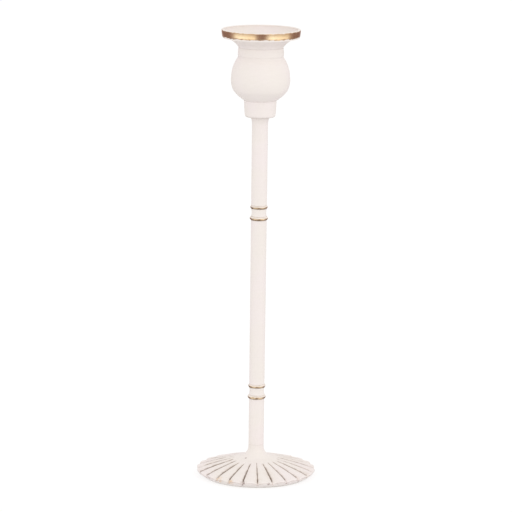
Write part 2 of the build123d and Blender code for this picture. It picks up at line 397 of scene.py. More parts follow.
class EffectGroup:
    """Base of the shared effects: a node group that is built once and takes a place and plain numbers."""

    name: str = ""
    inputs: tuple[str, ...] = ()
    outputs: tuple[str, ...] = ("Mask",)

    @classmethod
    def tree(cls) -> bpy.types.NodeTree:
        """Returns the group, building it the first time."""
        known = bpy.data.node_groups.get(cls.name)
        if known:
            return known
        tree = bpy.data.node_groups.new(cls.name, "ShaderNodeTree")
        tree.interface.new_socket("Place", in_out="INPUT", socket_type="NodeSocketVector")
        for label in cls.inputs:
            tree.interface.new_socket(label, in_out="INPUT", socket_type="NodeSocketFloat")
        for label in cls.outputs:
            tree.interface.new_socket(label, in_out="OUTPUT", socket_type="NodeSocketFloat")
        bench = NodeBench(tree)
        source = bench.add("NodeGroupInput").outputs
        sink = bench.add("NodeGroupOutput").inputs
        cls.build(bench, source, sink)
        return tree

    @classmethod
    def build(cls, bench: NodeBench, source: Outputs, sink: Inputs) -> None:
        """Fills the group; each effect gives its own.

        Args:
            bench: the group's bench.
            source: the group's inputs.
            sink: the group's outputs.
        """
        raise NotImplementedError

    @classmethod
    def place(cls, bench: NodeBench, **values: object) -> Outputs:
        """Puts the effect into a material.

        Args:
            bench: the material's bench.
            values: what each input gets.

        Returns:
            The outputs of the placed group.
        """
        node = bench.add("Group", node_tree=cls.tree())
        for label, value in values.items():
            bench.feed(node.inputs[label], value)
        return node.outputs


class BrushedSkin(EffectGroup):
    """Uneven coat laid on while the piece turned: tint patches, streaks and a fine height."""

    name = "brushed_skin"
    inputs = ("Seed",)
    outputs = ("Patch", "Streak", "Height")

    @classmethod
    def build(cls, bench: NodeBench, source: Outputs, sink: Inputs) -> None:
        """Mixes three scales of noise into one height, beside two masks.

        Args:
            bench: the group's bench.
            source: the group's inputs.
            sink: the group's outputs.
        """
        shift = bench.add("VectorMath", operation="ADD")
        bench.feed(shift.inputs[0], source["Place"])
        bench.feed(shift.inputs[1], source["Seed"])
        place = shift.outputs[0]
        patch = bench.noise(place, 34.0, 2.0, 0.5)
        streak = bench.noise(bench.stretched(place, 90.0, 90.0, 1500.0), 1.0, 3.0, 0.6)
        pore = bench.noise(bench.stretched(place, 1400.0, 1400.0, 60.0), 1.0, 2.0, 0.6)
        grain = bench.noise(place, 2600.0, 2.0, 0.6)
        height = bench.scaled(pore, 0.3, bench.scaled(grain, 0.22, bench.times(streak, 0.5)))
        bench.feed(sink["Patch"], patch)
        bench.feed(sink["Streak"], streak)
        bench.feed(sink["Height"], height)


class RingLine(EffectGroup):
    """Ragged line round the axis at one height, for grime, gilding and painted shade along a seam."""

    name = "ring_line"
    inputs = ("Height", "Width", "Ragged")

    @classmethod
    def build(cls, bench: NodeBench, source: Outputs, sink: Inputs) -> None:
        """Gaussian of the distance from the height, broken up by noise.

        Args:
            bench: the group's bench.
            source: the group's inputs.
            sink: the group's outputs.
        """
        _, _, z = bench.axes(source["Place"])
        wander = bench.times(bench.wander(source["Place"], 420.0), source["Ragged"])
        off = bench.plus(bench.minus(z, source["Height"]), wander)
        breaks = bench.ramp(bench.noise(source["Place"], 260.0, 2.0, 0.6), 0.3, 0.62, 0.35, 1.0)
        bench.feed(sink["Mask"], bench.times(bench.bell(off, source["Width"]), breaks, clamp=True))


class FluteLine(EffectGroup):
    """Grime that has settled in evenly spaced flutes, each a little different, with a pit at its end, and a
    line of painted shade, partly grime, under the petals' lower edge.
    """

    name = "flute_line"
    inputs = ("Count", "Width", "Inner", "Outer", "Lip")
    outputs = ("Mask", "Stain", "LipShadeAndGrime")
    sides: Point = (0.62, 0.95)

    @classmethod
    def build(cls, bench: NodeBench, source: Outputs, sink: Inputs) -> None:
        """Distance from the nearest flute, from the angle round the axis, and from the petals' lower edge.

        Args:
            bench: the group's bench.
            source: the group's inputs.
            sink: the group's outputs.
        """
        place = source["Place"]
        x, y, z = bench.axes(place)
        radius = bench.radius(x, y)
        flute = bench.times(bench.math("DIVIDE", bench.math("ARCTAN2", y, x), FULL_TURN), source["Count"])
        number = bench.math("ROUND", flute)
        span = bench.math("DIVIDE", bench.times(radius, FULL_TURN), source["Count"])
        off = bench.math("ABSOLUTE", bench.minus(flute, number))
        away = bench.times(off, span)
        chance = bench.add("TexWhiteNoise", noise_dimensions="1D")
        bench.feed(chance.inputs["W"], bench.math("FLOORED_MODULO", number, source["Count"]))
        odds = bench.axes(chance.outputs["Color"])
        sideways = bench.math("ABSOLUTE", bench.math("DIVIDE", x, radius))
        width = bench.times(source["Width"], bench.ramp(odds[0], 0.0, 1.0, 0.75, 1.2),
                            bench.ramp(sideways, *cls.sides, 1.0, 1.75),
                            bench.ramp(radius, 18.0 * MM, 36.0 * MM, 0.5, 1.05),
                            bench.ramp(bench.noise(place, 210.0, 3.0, 0.6), 0.3, 0.75, 0.5, 1.4))
        start = bench.scaled(odds[1], 3.2 * MM, source["Inner"])
        end = bench.scaled(odds[2], -1.2 * MM, source["Outer"])
        end = bench.plus(end, bench.ramp(sideways, *cls.sides, 0.0, 2.4 * MM))
        grown = bench.ramp(radius, start, bench.plus(start, 2.6 * MM))
        kept = bench.ramp(radius, bench.minus(end, 0.3 * MM), bench.plus(end, 0.5 * MM), 1.0, 0.0)
        line_mask = bench.times(bench.bell(away, width), bench.times(grown, kept))
        past = bench.minus(radius, bench.minus(end, 0.2 * MM))
        pit = bench.times(bench.bell(past, 0.75 * MM), bench.bell(away, 0.62 * MM),
                          bench.ramp(odds[0], 0.15, 0.8, 0.25, 1.0))
        halo = bench.bell(away, bench.times(width, 4.5))
        bench.feed(sink["Mask"], bench.math("MAXIMUM", line_mask, pit, clamp=True))
        bench.feed(sink["Stain"], bench.times(halo, grown, clamp=True))
        # The lip line darkens the foot just under the petals' lower edge at the rim: painted shade under the
        # overhang, partly grime in the corner.
        across = bench.scaled(off, -2.0, 1.0)
        sag = bench.times(bench.math("POWER", across, 2.2), 1.9 * MM)
        rise = bench.plus(bench.minus(z, source["Lip"]), sag)
        broken = bench.ramp(bench.noise(place, 190.0, 3.0, 0.6), 0.38, 0.6, 0.25, 1.0)
        at_rim = bench.ramp(radius, 45.5 * MM, 47.0 * MM)
        bench.feed(sink["LipShadeAndGrime"], bench.times(bench.bell(rise, 0.32 * MM), bench.times(broken, at_rim)))


class Speckle(EffectGroup):
    """Sparse irregular flecks, for chips, drips and dull spots."""

    name = "speckle"
    inputs = ("Scale", "Cover")

    @classmethod
    def build(cls, bench: NodeBench, source: Outputs, sink: Inputs) -> None:
        """Thresholds noise, so that Cover sets how much of the surface is flecked.

        Args:
            bench: the group's bench.
            source: the group's inputs.
            sink: the group's outputs.
        """
        node = bench.add("TexNoise")
        bench.feed(node.inputs["Vector"], source["Place"])
        bench.feed(node.inputs["Scale"], source["Scale"])
        node.inputs["Detail"].default_value = 4.0
        node.inputs["Roughness"].default_value = 0.62
        low = bench.minus(0.78, source["Cover"])
        bench.feed(sink["Mask"], bench.ramp(node.outputs["Fac"], low, bench.plus(low, 0.09)))


# ---------------------------------------------------------------- finishes


def start_material(name: str) -> tuple[bpy.types.Material, NodeBench, Node, Socket]:
    """Makes a node material with a Principled shader.

    Args:
        name: the material's name.

    Returns:
        The material, its bench, the shader node and the Object coordinates.
    """
    material = bpy.data.materials.new(name)
    material.use_nodes = True
    bench = NodeBench(material.node_tree)
    shader = material.node_tree.nodes["Principled BSDF"]
    place = bench.add("TexCoord").outputs["Object"]
    return material, bench, shader, place


def add_bump(bench: NodeBench, shader: Node, height: Socket, depth: float, strength: float) -> None:
    """Feeds a height into the shader's normal, with its depth in metres.

    Args:
        bench: the material's bench.
        shader: the Principled shader.
        height: the height between 0 and 1.
        depth: how far a height of 1 stands out, in metres.
        strength: how much of it shows.
    """
    bump = bench.add("Bump")
    bump.inputs["Strength"].default_value = strength
    bump.inputs["Distance"].default_value = depth
    bench.feed(bump.inputs["Height"], height)
    bench.feed(shader.inputs["Normal"], bump.outputs["Normal"])


@dataclass(frozen=True)
class Seam:
    """A ragged line round a piece: its height, half width and raggedness in mm, and its strength."""

    height: float
    width: float
    strength: float
    ragged: float = 0.5

    def mask(self, bench: NodeBench, place: Socket) -> Socket:
        """Where the line lies, at its strength."""
        ring = RingLine.place(bench, Place=place, Height=self.height * MM, Width=self.width * MM,
                              Ragged=self.ragged * MM)["Mask"]
        return bench.times(ring, self.strength)


@dataclass(frozen=True)
class ChalkPaint:
    """Off-white chalk paint, rubbed with brown wax that stays in the seams; some seam lines lay the same wax
    colour as painted shade under overhangs.
    """

    name: str
    seed: float = 0.0
    seams: tuple[Seam, ...] = ()
    gilding: tuple[Seam, ...] = ()
    cream: Colour = (0.885, 0.83, 0.785, 1.0)
    blush: Colour = (0.895, 0.825, 0.81, 1.0)
    shade: Colour = (0.62, 0.54, 0.48, 1.0)
    wax: Colour = (0.23, 0.155, 0.11, 1.0)
    leaf: Colour = (0.60, 0.36, 0.15, 1.0)
    roughness: float = 0.58

    def colours(self, bench: NodeBench, place: Socket, skin: Outputs) -> Socket:
        """Body colour with its patches, streaks and specks.

        Args:
            bench: the material's bench.
            place: the Object coordinates.
            skin: the outputs of the brushed skin.

        Returns:
            The colour.
        """
        patch = bench.ramp(skin["Patch"], 0.32, 0.68)
        body = bench.mix(patch, self.cream, self.blush)
        shade = bench.ramp(skin["Streak"], 0.25, 0.75, 0.0, 0.055)
        body = bench.mix(shade, body, self.shade)
        fleck = Speckle.place(bench, Place=place, Scale=620.0, Cover=0.075)["Mask"]
        return bench.mix(bench.times(fleck, 0.22), body, self.wax)

    def seam_mask(self, bench: NodeBench, place: Socket, seams: Sequence[Seam]) -> Socket | None:
        """Strongest of several ring lines, or None where there are none.

        Args:
            bench: the material's bench.
            place: the Object coordinates.
            seams: the lines.

        Returns:
            The mask, or None.
        """
        total = None
        for seam in seams:
            ring = seam.mask(bench, place)
            total = ring if total is None else bench.math("MAXIMUM", total, ring)
        return total

    def material(self) -> bpy.types.Material:
        """Builds the material of one painted piece."""
        material, bench, shader, place = start_material(self.name)
        skin = BrushedSkin.place(bench, Place=place, Seed=self.seed)
        colour = self.colours(bench, place, skin)
        roughness = bench.ramp(skin["Streak"], 0.2, 0.8, self.roughness - 0.06, self.roughness + 0.08)
        # Seam lines mix in the wax colour: wax in real joints, and painted shade where a line lies under an
        # overhang.
        wax_and_shade = self.seam_mask(bench, place, self.seams)
        if wax_and_shade:
            colour = bench.mix(wax_and_shade, colour, self.wax)
            roughness = bench.scaled(wax_and_shade, 0.15, roughness)
        colour, roughness = self.extra(bench, place, colour, roughness)
        gilt = self.seam_mask(bench, place, self.gilding)
        if gilt:
            colour = bench.mix(gilt, colour, self.leaf)
            bench.feed(shader.inputs["Metallic"], bench.times(gilt, 0.85))
            roughness = bench.scaled(gilt, -0.2, roughness)
        bench.feed(shader.inputs["Base Color"], colour)
        bench.feed(shader.inputs["Roughness"], roughness)
        shader.inputs["IOR"].default_value = 1.47
        shader.inputs["Sheen Weight"].default_value = 0.06
        add_bump(bench, shader, skin["Height"], 0.00012, 0.35)
        return material

    def extra(self, bench: NodeBench, place: Socket, colour: Socket,
              roughness: Socket) -> tuple[Socket, Socket]:
        """Room for a richer finish to add to the colour and roughness."""
        return colour, roughness


@dataclass(frozen=True)
class Touch:
    """A worn or rubbed spot: its middle, its radius, and how strong and how fine it is."""

    place: tuple[float, float, float]
    radius: float
    strength: float
    scale: float
    cover: float
    colour: Colour

    def lay(self, bench: NodeBench, place: Socket, colour: Socket) -> Socket:
        """Mixes the spot over a colour.

        Args:
            bench: the material's bench.
            place: the Object coordinates.
            colour: the colour under the spot.

        Returns:
            The colour with the spot on it.
        """
        away = bench.add("VectorMath", operation="DISTANCE")
        bench.feed(away.inputs[0], place)
        away.inputs[1].default_value = tuple(c * MM for c in self.place)
        near = bench.ramp(away.outputs["Value"], 0.25 * self.radius * MM, self.radius * MM, 1.0, 0.0)
        flecks = Speckle.place(bench, Place=place, Scale=self.scale, Cover=self.cover)["Mask"]
        return bench.mix(bench.times(near, flecks, self.strength), colour, self.colour)


@dataclass(frozen=True)
class FlutedPaint(ChalkPaint):
    """Chalk paint of the base, with wax left in every flute, a little gold at the rim and a thin line of
    painted shade, partly grime, under the petals' lips.
    """

    flutes: int = 24
    line_width: float = 0.62
    inner: float = 17.0
    outer: float = 46.7
    foot_top: float = 4.3
    lip: float = 5.0
    stain: Colour = (0.62, 0.48, 0.36, 1.0)
    # colour of the painted shade, partly grime, under the petals' lips
    edge: Colour = (0.40, 0.27, 0.24, 1.0)
    touches: tuple[Touch, ...] = ()

    def extra(self, bench: NodeBench, place: Socket, colour: Socket,
              roughness: Socket) -> tuple[Socket, Socket]:
        """Adds the wax lines, their faint stain, the painted shade line under the petals' lips and the odd
        touch of rubbed gold.

        Args:
            bench: the material's bench.
            place: the Object coordinates.
            colour: the paint so far.
            roughness: its roughness so far.

        Returns:
            The colour and the roughness.
        """
        flute = FluteLine.place(bench, Place=place, Count=float(self.flutes), Width=self.line_width * MM,
                                Inner=self.inner * MM, Outer=self.outer * MM, Lip=self.lip * MM)
        x, y, z = bench.axes(place)
        on_top = bench.ramp(z, (self.foot_top - 0.5) * MM, self.foot_top * MM)
        sheltered = bench.scaled(x, 0.8, bench.times(y, 0.6))
        rubbed = bench.ramp(sheltered, 5.0 * MM, 40.0 * MM, 0.95, 0.5)
        stain = bench.ramp(bench.noise(place, 70.0), 0.35, 0.7, 0.04, 0.22)
        colour = bench.mix(bench.times(flute["Stain"], stain, on_top), colour, self.stain)
        wax = bench.times(flute["Mask"], rubbed, on_top)
        colour = bench.mix(wax, colour, self.wax)
        # Painted shade, partly grime, in a thin line under the petals' lips.
        colour = bench.mix(bench.times(flute["LipShadeAndGrime"], 0.5), colour, self.edge)
        for touch in self.touches:
            colour = touch.lay(bench, place, colour)
        return colour, bench.scaled(wax, 0.12, roughness)


@dataclass(frozen=True)
class AgedGold:
    """Gilding over red clay, which shows where it is worn and, low on the beads, as painted shade; beside
    paint of the body colour, which on the beads' upper sides is a painted highlight.
    """

    name: str
    seed: float = 0.0
    seams: tuple[Seam, ...] = ()
    bright: Colour = (0.97, 0.78, 0.52, 1.0)
    deep: Colour = (0.78, 0.49, 0.22, 1.0)
    clay: Colour = (0.24, 0.09, 0.05, 1.0)
    paint: Colour = (0.89, 0.83, 0.79, 1.0)
    roughness: float = 0.22

    def material(self) -> bpy.types.Material:
        """Builds the gold of one gilded piece."""
        material, bench, shader, place = start_material(self.name)
        skin = BrushedSkin.place(bench, Place=place, Seed=self.seed)
        patch = bench.ramp(skin["Patch"], 0.3, 0.7)
        colour = bench.mix(bench.times(patch, 0.6), self.bright, self.deep)
        worn = bench.times(Speckle.place(bench, Place=place, Scale=380.0, Cover=0.16)["Mask"], 0.35)
        # On the beads the seam lines add painted shade in the clay colour low on each bead, so this mask
        # holds wear and painted shade; on the rim they are clay at its edges.
        for seam in self.seams:
            worn = bench.math("MAXIMUM", worn, seam.mask(bench, place))
        colour = bench.mix(worn, colour, self.clay)
        metallic = bench.ramp(worn, 0.0, 1.0, 1.0, 0.55)
        roughness = bench.scaled(worn, 0.3, self.roughness)
        # Where gilt falls to 0 the body colour shows: real paint on the rim's lip and foot, a painted
        # highlight on the beads' upper sides.
        gilt = self.gilt(bench, place)
        colour = bench.mix(gilt, self.paint, colour)
        metallic = bench.times(metallic, gilt)
        roughness = bench.scaled(bench.minus(1.0, gilt), 0.35, roughness)
        bench.feed(shader.inputs["Base Color"], colour)
        bench.feed(shader.inputs["Metallic"], metallic)
        bench.feed(shader.inputs["Roughness"], roughness)
        add_bump(bench, shader, skin["Height"], 0.00010, 0.30)
        return material

    def gilt(self, bench: NodeBench, place: Socket) -> Socket:
        """Where the gold shows and not the paint; each gilded piece gives its own."""
        raise NotImplementedError


@dataclass(frozen=True)
class RimGold(AgedGold):
    """Gold of the dish's rim, painted over inside the lip and along its ragged lower edge."""

    inside_r: float = 32.65
    lip_z: float = 379.1
    foot_z: float = 374.15

    def gilt(self, bench: NodeBench, place: Socket) -> Socket:
        """Below the lip, and on it outside one radius, down to a wandering edge.

        Args:
            bench: the material's bench.
            place: the Object coordinates.

        Returns:
            The share of gold, from 0 to 1.
        """
        x, y, z = bench.axes(place)
        slow = bench.wander(place, 95.0, 2.0, 0.5)
        fast = bench.wander(place, 420.0)
        outer = bench.ramp(bench.scaled(fast, 0.4 * MM, bench.radius(x, y)),
                           self.inside_r * MM, (self.inside_r + 0.2) * MM)
        under = bench.ramp(z, (self.lip_z - 0.1) * MM, self.lip_z * MM, 1.0, 0.0)
        edge = bench.scaled(fast, 2.2 * MM, bench.scaled(slow, 1.6 * MM, self.foot_z * MM))
        over = bench.ramp(bench.minus(z, edge), -0.1 * MM, 0.12 * MM)
        return bench.times(bench.math("MAXIMUM", outer, under), over)


@dataclass(frozen=True)
class BeadGold(AgedGold):
    """Gold of a bead, with cream paint on its upper side: a painted highlight standing in for the white
    reflection there.
    """

    deep: Colour = (0.36, 0.26, 0.15, 1.0)
    clay: Colour = (0.13, 0.08, 0.05, 1.0)
    highlight_above: float = 0.0

    def gilt(self, bench: NodeBench, place: Socket) -> Socket:
        """The lower side, with a broken upper edge.

        Args:
            bench: the material's bench.
            place: the Object coordinates.

        Returns:
            The share of gold, from 0 to 1.
        """
        # Above the given height most of the gold gives way to the cream paint colour: a painted highlight on
        # the bead's upper side.
        _, _, z = bench.axes(place)
        height = bench.scaled(bench.wander(place, 240.0, 2.0), 1.6 * MM, z)
        low, high = (self.highlight_above - 0.35) * MM, (self.highlight_above + 0.45) * MM
        return bench.ramp(height, low, high, 1.0, 0.15)


@dataclass(frozen=True)
class SpunMetal:
    """Bare metal with the fine rings that the lathe leaves."""

    name: str
    tint: Colour
    shade: Colour
    roughness: float

    def material(self) -> bpy.types.Material:
        """Builds the metal of the socket and of the hidden hardware."""
        material, bench, shader, place = start_material(self.name)
        rings = bench.noise(bench.stretched(place, 60.0, 60.0, 3200.0), 1.0, 2.0, 0.5)
        cloud = bench.ramp(bench.noise(place, 120.0, 3.0), 0.3, 0.7)
        bench.feed(shader.inputs["Base Color"], bench.mix(cloud, self.tint, self.shade))
        shader.inputs["Metallic"].default_value = 1.0
        bench.feed(shader.inputs["Roughness"],
                   bench.ramp(rings, 0.25, 0.75, self.roughness - 0.08, self.roughness + 0.1))
        add_bump(bench, shader, rings, 0.00005, 0.3)
        return material


@dataclass(frozen=True)
class PressedFelt:
    """Wool felt: a matt tangle of short fibres."""

    name: str
    light: Colour = (0.76, 0.72, 0.68, 1.0)
    dark: Colour = (0.60, 0.56, 0.52, 1.0)

    def material(self) -> bpy.types.Material:
        """Builds the felt."""
        material, bench, shader, place = start_material(self.name)
        tangle = bench.noise(place, 1900.0, 4.0, 0.7)
        clump = bench.noise(place, 160.0, 2.0, 0.5)
        mix = bench.scaled(clump, 0.5, bench.times(tangle, 0.5))
        bench.feed(shader.inputs["Base Color"], bench.mix(bench.ramp(mix, 0.3, 0.7), self.light, self.dark))
        bench.feed(shader.inputs["Roughness"], bench.ramp(tangle, 0.2, 0.8, 0.85, 1.0))
        shader.inputs["Sheen Weight"].default_value = 0.3
        shader.inputs["Sheen Roughness"].default_value = 0.5
        add_bump(bench, shader, tangle, 0.0004, 0.6)
        return material


# ---------------------------------------------------------------- assembly


@dataclass
class SubAssembly:
    """A group of pieces that are made, dressed and reported together."""

    lathe: Lathe
    made: list[bpy.types.Object] = field(default_factory=list)

    def dress(self, piece: bpy.types.Object, material: bpy.types.Material, body: Body, slot: Slot,
              *nodes: str) -> None:
        """Gives a piece its material, its body and the CAD nodes that it stands for.

        Args:
            piece: the finished object.
            material: its material.
            body: the CAD body that it rides on.
            slot: not used.
            nodes: the CAD nodes that it replaces.
        """
        piece.data.materials.append(material)
        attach(piece, body.value)
        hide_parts(*nodes)
        self.made.append(piece)

    def report(self) -> None:
        """Logs what was made."""
        for piece in self.made:
            log.info("%s: %d faces", piece.name, len(piece.data.polygons))


@dataclass
class FlutedFoot(SubAssembly):
    """Felt pad and the base: a crowned disc of petals on a plain foot, with a flared boss."""

    petals: int = 24
    steps_per_petal: int = 18
    tip_r: float = 50.18
    scallop: float = 1.5
    crown_r: float = 14.2
    crown_z: float = 15.7
    crown_bulge: float = 0.3
    edge_z: float = 6.35
    boss_r: float = 6.4
    boss_top: float = 27.0
    fillet_top: float = 25.0
    fillet_sag: float = 2.19
    foot_r: float = 45.6
    foot_z: float = 1.0
    ledge_z: float = 3.3
    ledge_r: float = 48.9
    recess_r: float = 34.0
    recess_z: float = 5.0
    well_r: float = 9.0
    well_z: float = 10.0
    felt_r: float = 44.4
    felt_h: float = 1.0
    flute_depth: float = 1.0
    flute_half: float = 0.5
    flute_start: float = 0.35
    flutes_from: float = 17.0
    petals_from: Point = (15.5, 21.0)
    rim_from: float = 40.0
    notch_in: float = 0.35
    dome: float = 0.85
    roll: float = 0.3
    petal_power: float = 2.2
    crowding: float = 0.8

    def outline(self) -> list[Point]:
        """Section of the base, from the stem socket over the crown and under the foot."""
        rim = (self.tip_r - 0.75, self.edge_z)
        nose = (self.tip_r, self.edge_z - 1.0)
        socket_z = self.boss_top - SOCKET_H
        points = [(SOCKET_R, self.boss_top), (self.boss_r, self.boss_top), (self.boss_r, self.fillet_top)]
        points += arc(points[-1], (self.crown_r, self.crown_z), self.fillet_sag, 18)
        points += arc(points[-1], rim, -self.crown_bulge, 26)
        points += arc(points[-1], nose, -0.22, 4)
        points += arc(points[-1], (self.ledge_r, self.ledge_z), -0.25, 4)
        points += line(points[-1], (self.foot_r, self.foot_z), 4)
        points += [(self.recess_r, self.foot_z), (self.recess_r, self.recess_z), (self.well_r, self.recess_z)]
        points += [(self.well_r, self.well_z), (ROD_HOLE_R, self.well_z), (ROD_HOLE_R, socket_z)]
        points += [(SOCKET_R, socket_z)]
        return points

    def carve(self, p: Vector) -> Vector:
        """Moves a point of the plain turned base to where the petals put it.

        Args:
            p: the point, in millimetres.

        Returns:
            The moved point.
        """
        radius = math.hypot(p.x, p.y)
        turn = math.atan2(p.y, p.x) / FULL_TURN * self.petals
        share = turn - math.floor(turn)
        share -= self.crowding * math.sin(FULL_TURN * share) / FULL_TURN
        angle = (math.floor(turn) + share) / self.petals * FULL_TURN
        across = abs(2.0 * share - 1.0)
        arc_off = (1.0 - across) * math.pi * radius / self.petals
        on_top = smooth_step(self.ledge_z, self.ledge_z + 0.9, p.z) * smooth_step(*self.petals_from, radius)
        notch = math.exp(-((arc_off / self.flute_half) ** 2))
        reach = smooth_step(self.rim_from, self.tip_r - 0.4, radius)
        spread = smooth_step(self.flutes_from, self.tip_r, radius)
        depth = self.flute_depth * (self.flute_start + (1.0 - self.flute_start) * spread)
        falloff = across ** self.petal_power
        radius -= on_top * reach * (self.scallop * falloff + self.notch_in * notch)
        drop = self.dome * spread * falloff + depth * notch + self.roll * reach ** 3 * across ** 2
        z = p.z - on_top * drop
        return Vector((radius * math.cos(angle), radius * math.sin(angle), z))

    def build(self) -> None:
        """Makes and dresses the base and its felt."""
        base = self.lathe.turn("base_of_petals", self.outline(), self.carve,
                               steps=self.petals * self.steps_per_petal, bevel=0.0)
        gold, brown = (0.76, 0.46, 0.20, 1.0), (0.22, 0.13, 0.12, 1.0)
        touches = (Touch((-32.0, -37.1, 5.2), 4.5, 0.7, 480.0, 0.33, gold),
                   Touch((-23.0, -44.3, 5.0), 4.0, 0.65, 480.0, 0.33, gold),
                   Touch((-40.7, -29.2, 5.2), 3.0, 0.6, 600.0, 0.3, brown),
                   Touch((-11.8, -47.3, 4.4), 3.8, 0.9, 850.0, 0.29, brown),
                   Touch((-1.3, -47.5, 4.6), 1.6, 0.8, 700.0, 0.4, brown),
                   Touch((8.9, -48.3, 4.6), 1.8, 0.8, 700.0, 0.4, brown),
                   Touch((-8.9, -8.5, 16.4), 1.3, 0.7, 500.0, 0.5, brown),
                   Touch((33.0, 36.0, 5.5), 5.0, 0.5, 480.0, 0.32, gold),
                   Touch((-4.0, 48.0, 5.0), 4.0, 0.6, 850.0, 0.3, brown))
        paint = FlutedPaint("paint_base", seed=3.0, touches=touches,
                            seams=(Seam(self.boss_top - 0.05, 0.3, 0.1), Seam(self.foot_z, 0.4, 0.08)))
        self.dress(base, paint.material(), Body.STAND, Slot.PAINT, "fluted_base")
        low, high = (self.felt_r, 0), (self.felt_r, self.felt_h)
        pad = [(0, 0), *line((0, 0), low, 12), *line(low, high, 2), *line(high, (0, self.felt_h), 12)]
        felt = self.lathe.turn("felt_under_foot", pad, bevel=0.25)
        self.dress(felt, PressedFelt("felt").material(), Body.STAND, Slot.FELT, "felt_pad")


@dataclass
class Stem(SubAssembly):
    """Slim stem in three lengths, with a knot of two gilded beads at each joint."""

    base_z: float = 27.0
    top_z: float = 307.0
    low_r: float = 6.4
    high_r: float = 6.68
    knots: tuple[tuple[str, float], ...] = (("lower", 72.95), ("upper", 226.22))
    gap: float = 6.7
    bottom_bead: Point = (7.65, 3.0)
    top_bead: Point = (7.3, 2.6)
    bead_flatness: float = 2.6
    bore_r: float = 4.55
    spacer_r: float = 6.7
    waist: float = 0.6
    head_r: float = 7.7
    head_h: float = 7.0

    def radius(self, z: float) -> float:
        """Radius of the tapered stem at a height."""
        return self.low_r + (self.high_r - self.low_r) * (z - self.base_z) / (self.top_z - self.base_z)

    def length(self, bottom: float, top: float, spigot_below: bool) -> list[Point]:
        """Section of one plain length of stem.

        Args:
            bottom: height of its lower shoulder.
            top: height of its upper shoulder.
            spigot_below: whether it ends below in a spigot, and not in a socket.

        Returns:
            The closed outline.
        """
        foot = (self.radius(bottom), bottom)
        head = (self.radius(top), top)
        points = [foot, *line(foot, head, 12), (SOCKET_R, top), (SOCKET_R, top - SOCKET_H)]
        points += [(ROD_HOLE_R, top - SOCKET_H)]
        if not spigot_below:
            return points + self.socket_below(bottom)
        low = bottom - SPIGOT_H
        return points + [(ROD_HOLE_R, low), (SPIGOT_R, low), (SPIGOT_R, bottom)]

    def socket_below(self, bottom: float) -> list[Point]:
        """Corners of the socket in a length's lower end."""
        return [(ROD_HOLE_R, bottom + SOCKET_H), (SOCKET_R, bottom + SOCKET_H), (SOCKET_R, bottom)]

    def head(self, bottom: float) -> list[Point]:
        """Section of the upper length, with its flared head and the tenon above.

        Args:
            bottom: height of its lower shoulder.

        Returns:
            The closed outline.
        """
        foot = (self.radius(bottom), bottom)
        neck_z = self.top_z - self.head_h
        neck = (self.radius(neck_z), neck_z)
        lip = (self.head_r, self.top_z - 1.0)
        points = [foot, *line(foot, neck, 10), *arc(neck, lip, -0.28, 10), (self.head_r, self.top_z)]
        tenon_z = self.top_z + TENON_H
        points += [(TENON_R, self.top_z), (TENON_R, tenon_z), (ROD_HOLE_R, tenon_z)]
        return points + self.socket_below(bottom)

    def bead(self, name: str, bottom: float, size: Point, seed: float) -> bpy.types.Object:
        """Gilded bead, a little uneven like hand-laid leaf.

        Args:
            name: name of the piece.
            bottom: height of its underside.
            size: its radius and height.
            seed: shifts the unevenness.

        Returns:
            The bead.
        """
        radius, height = size
        bulge = height / self.bead_flatness
        face_r = radius - bulge
        outline = [(self.bore_r, bottom), (face_r, bottom)]
        outline += arc(outline[-1], (face_r, bottom + height), bulge, 14)
        outline += [(self.bore_r, bottom + height)]

        def uneven(p: Vector) -> Vector:
            """Moves the outside by up to 0.15 mm inwards and 0.05 mm outwards.

            Args:
                p: a point of the bead, in millimetres.

            Returns:
                The moved point.
            """
            r = math.hypot(p.x, p.y)
            if r < face_r - 0.01:
                return p
            dent = noise.noise(p * 0.45 + Vector((seed, 0, 0))) * 0.10 - 0.05
            return Vector((p.x * (1 + dent / r), p.y * (1 + dent / r), p.z))

        return self.lathe.turn(name, outline, uneven, bevel=0.08)

    def spacer(self, name: str, middle: float) -> bpy.types.Object:
        """Waisted spacer with a spigot at each end.

        Args:
            name: name of the piece.
            middle: height of its middle.

        Returns:
            The spacer.
        """
        low, high = self.gap_ends(middle)
        under, over = low - self.bottom_bead[1] - SPIGOT_H, high + self.top_bead[1] + SPIGOT_H
        start, end = (self.spacer_r, low), (self.spacer_r, high)
        outline = [start, *arc(start, end, -self.waist, 10), (SPIGOT_R, high), (SPIGOT_R, over)]
        outline += [(ROD_HOLE_R, over), (ROD_HOLE_R, under), (SPIGOT_R, under), (SPIGOT_R, low)]
        return self.lathe.turn(name, outline, bevel=0.1)

    def gap_ends(self, middle: float) -> Point:
        """Heights of a spacer's lower and upper shoulder."""
        return middle - self.gap / 2, middle + self.gap / 2

    def knot_ends(self, middle: float) -> Point:
        """Lowest and highest height of a knot."""
        low, high = self.gap_ends(middle)
        return low - self.bottom_bead[1], high + self.top_bead[1]

    def paint(self, name: str, seed: float, *heights: float) -> bpy.types.Material:
        """Paint of one length, dirty and faintly gilded where it meets a knot.

        Args:
            name: the material's name.
            seed: shifts its unevenness.
            heights: where its joints are.

        Returns:
            The material.
        """
        seams = tuple(Seam(z, 0.28, 0.2) for z in heights)
        gilding = tuple(Seam(z, 0.45, 0.2, 0.9) for z in heights)
        return ChalkPaint(name, seed=seed, seams=seams, gilding=gilding).material()

